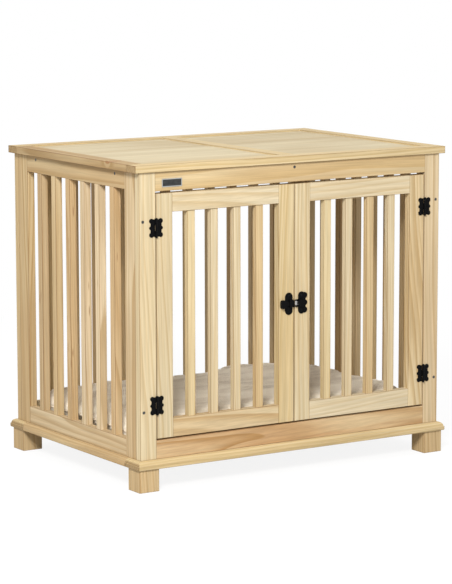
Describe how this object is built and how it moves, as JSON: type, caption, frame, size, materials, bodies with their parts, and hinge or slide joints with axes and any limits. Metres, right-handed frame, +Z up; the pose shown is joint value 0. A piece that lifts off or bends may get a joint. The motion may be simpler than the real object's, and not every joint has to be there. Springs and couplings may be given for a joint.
{
  "type": "pet crate",
  "caption": "Free-standing pine pet crate with slatted walls, a panelled top, a pair of hinged slatted front doors with a slide latch, and a floor cushion.",
  "frame": {"origin": "centre of the footprint, on the surface that the feet stand on", "axes": "+X to the right along the front, -Y out of the doors, +Z up"},
  "size_m": [0.813, 0.579, 0.7],
  "materials": {
    "pine": "bare planed pine, satin",
    "panel_board": "pale sanded board",
    "black_iron": "satin black",
    "bright_steel": "bright",
    "screw_steel": "dull zinc",
    "plate_steel": "dull, blank",
    "plush": "short grey-beige plush"
  },
  "bodies": {
    "crate": {"foot_front_left": "pine", "foot_front_right": "pine", "foot_back_left": "pine", "foot_back_right": "pine", "plinth_front": "pine", "plinth_back": "pine", "plinth_left": "pine", "plinth_right": "pine", "floor_panel": "panel_board", "floor_batten": "panel_board", "front_post_left": "pine", "front_post_right": "pine", "front_top_rail": "pine", "front_bottom_rail": "pine", "left_front_stile": "pine", "left_back_stile": "pine", "left_top_rail": "pine", "left_bottom_rail": "pine", "left_slats": "pine", "right_front_stile": "pine", "right_back_stile": "pine", "right_top_rail": "pine", "right_bottom_rail": "pine", "right_slats": "pine", "back_stile_left": "pine", "back_stile_right": "pine", "back_top_rail": "pine", "back_bottom_rail": "pine", "back_slats": "pine", "top_rail_front": "pine", "top_rail_back": "pine", "top_rail_left": "pine", "top_rail_right": "pine", "top_rail_center": "pine", "top_panels": "panel_board", "top_cleats": "panel_board", "assembly_screws": "screw_steel", "badge_plate": "plate_steel", "cushion": "plush", "frame_hinge_leaves": "black_iron", "hinge_pins": "black_iron", "frame_hinge_screws": "black_iron"},
    "left_door": {"left_door_hinge_stile": "pine", "left_door_meeting_stile": "pine", "left_door_top_rail": "pine", "left_door_bottom_rail": "pine", "left_door_slats": "pine", "left_door_hinge_leaves": "black_iron", "left_door_screws": "black_iron", "latch_plate": "black_iron"},
    "right_door": {"right_door_hinge_stile": "pine", "right_door_meeting_stile": "pine", "right_door_top_rail": "pine", "right_door_bottom_rail": "pine", "right_door_slats": "pine", "right_door_hinge_leaves": "black_iron", "right_door_screws": "black_iron", "latch_keeper": "black_iron", "latch_strike": "bright_steel"},
    "bolt": {"latch_bolt": "black_iron"}
  },
  "joints": [
    {"name": "left_door_hinge", "type": "hinge", "parent": "crate", "child": "left_door", "pos_m": [-0.353, -0.2784, 0.376], "axis": [0, 0, -1], "range_deg": [0, 175]},
    {"name": "right_door_hinge", "type": "hinge", "parent": "crate", "child": "right_door", "pos_m": [0.353, -0.2784, 0.376], "axis": [0, 0, 1], "range_deg": [0, 175]},
    {"name": "latch_slide", "type": "slide", "parent": "left_door", "child": "bolt", "axis": [1, 0, 0], "range_m": [0, 0.015]}
  ]
}
